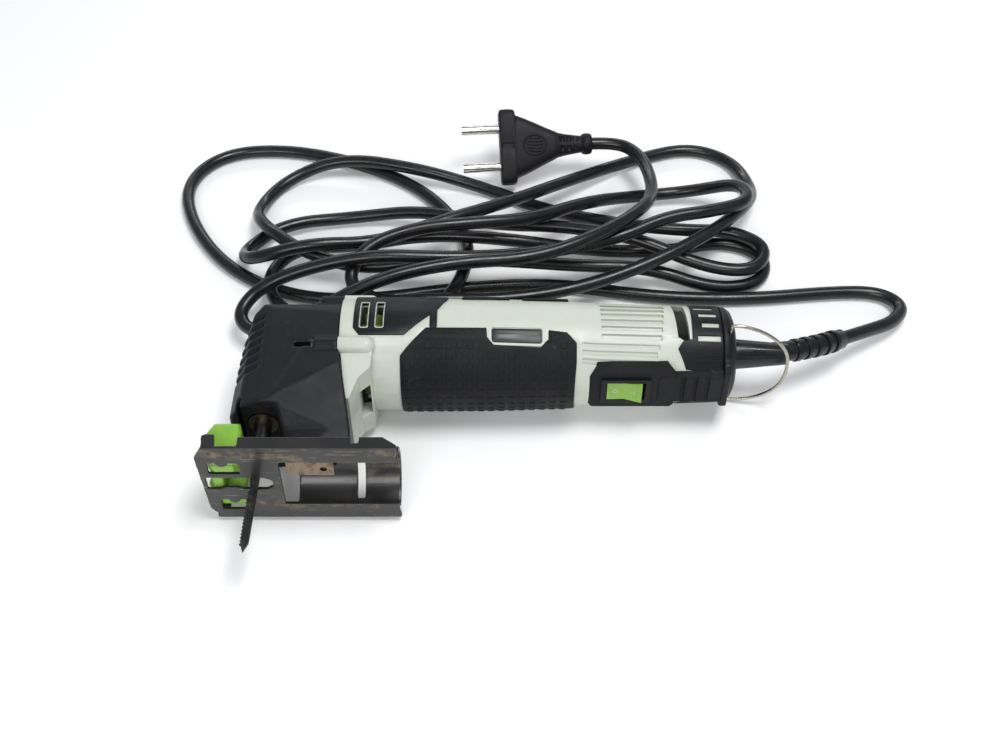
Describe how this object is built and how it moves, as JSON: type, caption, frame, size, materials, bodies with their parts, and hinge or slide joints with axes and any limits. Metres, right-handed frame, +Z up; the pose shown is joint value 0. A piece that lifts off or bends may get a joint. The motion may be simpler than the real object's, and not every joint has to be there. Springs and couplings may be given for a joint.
{
  "type": "jigsaw power tool",
  "caption": "Slim corded mini jigsaw with a barrel body, tilting sole, reciprocating blade, rocker switch, hanging loop and a lead ending in a two-pin plug.",
  "frame": {"origin": "on the table, under the middle of the tool's bounding box without its lead", "axes": "+X along the motor towards the cord exit, -Y the way the blade points, +Z up as the tool lies on its side"},
  "size_m": [0.35, 0.2708, 0.049],
  "materials": {
    "black_casing": "fine-textured charcoal glass-filled nylon",
    "white_casing": "moulded off-white plastic, faint texture",
    "soft_grip": "soft-touch black overmould",
    "badge": "blank dark badge plate",
    "green_plastic": "lime green moulded plastic",
    "fan_plastic": "yellow-green moulded plastic",
    "black_steel": "black-finished stamped steel, worn",
    "bright_steel": "machined steel",
    "nickel_wire": "nickel-plated spring wire",
    "blade_steel": "blackened tool steel",
    "screw_steel": "zinc-plated steel",
    "bronze": "sintered bronze",
    "copper": "enamelled copper",
    "magnet": "sintered ferrite",
    "core_steel": "laminated steel",
    "carbon": "carbon brush",
    "board": "circuit board",
    "cord_jacket": "black PVC jacket",
    "plug_plastic": "textured black PVC",
    "gear_steel": "hobbed steel"
  },
  "bodies": {
    "housing": {"gear_housing": "black_casing", "left_shell": "white_casing", "right_shell": "white_casing", "left_vent_panel": "black_casing", "right_vent_panel": "black_casing", "left_grip_sleeve": "soft_grip", "right_grip_sleeve": "soft_grip", "left_rear_frame": "black_casing", "right_rear_frame": "black_casing", "left_badge_plate": "badge", "right_badge_plate": "badge", "top_pads": "soft_grip", "switch_surround": "soft_grip", "switch_body": "black_casing", "bearing_plate": "bright_steel", "gear_axle": "gear_steel", "head_screws": "screw_steel", "upper_plunger_bush": "bronze", "lower_plunger_bush": "bronze", "sole_clamp_plate": "bright_steel", "sole_clamp_screw": "screw_steel", "motor_can": "bright_steel", "magnets": "magnet", "front_motor_bearing": "bronze", "rear_motor_bearing": "bronze", "end_bell": "black_casing", "brush_holders": "bronze", "brushes": "carbon", "brush_springs": "bright_steel", "rectifier_board": "board", "end_cap": "black_casing", "strain_relief": "cord_jacket", "power_cord": "cord_jacket", "plug_body": "plug_plastic", "plug_pins": "nickel_wire"},
    "rotor": {"motor_shaft": "gear_steel", "armature_core": "core_steel", "armature_windings": "copper", "commutator": "copper", "cooling_fan": "fan_plastic", "pinion": "gear_steel"},
    "gear": {"drive_gear": "gear_steel", "eccentric_pin": "gear_steel"},
    "plunger": {"plunger_rod": "bright_steel", "plunger_yoke": "bright_steel", "saw_blade": "blade_steel", "blade_clamp_screw": "screw_steel"},
    "sole": {"sole_plate": "black_steel", "finger_guard": "green_plastic"},
    "rocker": {"rocker_button": "green_plastic"},
    "bail": {"hanging_bail": "nickel_wire"}
  },
  "joints": [
    {"name": "gear_spin", "type": "hinge", "parent": "housing", "child": "gear", "pos_m": [-0.0858, 0.01915, 0.0245], "axis": [1, 0, 0], "continuous": true},
    {"name": "motor_spin", "type": "hinge", "parent": "housing", "child": "rotor", "pos_m": [-0.0023, 0.0385, 0.0245], "axis": [1, 0, 0], "continuous": true},
    {"name": "plunger_slide", "type": "slide", "parent": "housing", "child": "plunger", "axis": [0, 1, 0], "range_m": [-0.004, 0.004]},
    {"name": "sole_tilt", "type": "hinge", "parent": "housing", "child": "sole", "pos_m": [-0.0623, -0.031, 0.0245], "axis": [1, 0, 0], "range_deg": [0, 45]},
    {"name": "rocker_press", "type": "hinge", "parent": "housing", "child": "rocker", "pos_m": [0.05, 0.0201, 0.0245], "axis": [0, 0, 1], "range_deg": [0, 16]},
    {"name": "bail_swing", "type": "hinge", "parent": "housing", "child": "bail", "pos_m": [0.0932, 0.0335, 0.0245], "axis": [0, 0, 1], "range_deg": [-80, 0]}
  ],
  "couplings": [
    {"joint": "motor_spin", "follows": "gear_spin", "ratio": -3}
  ]
}
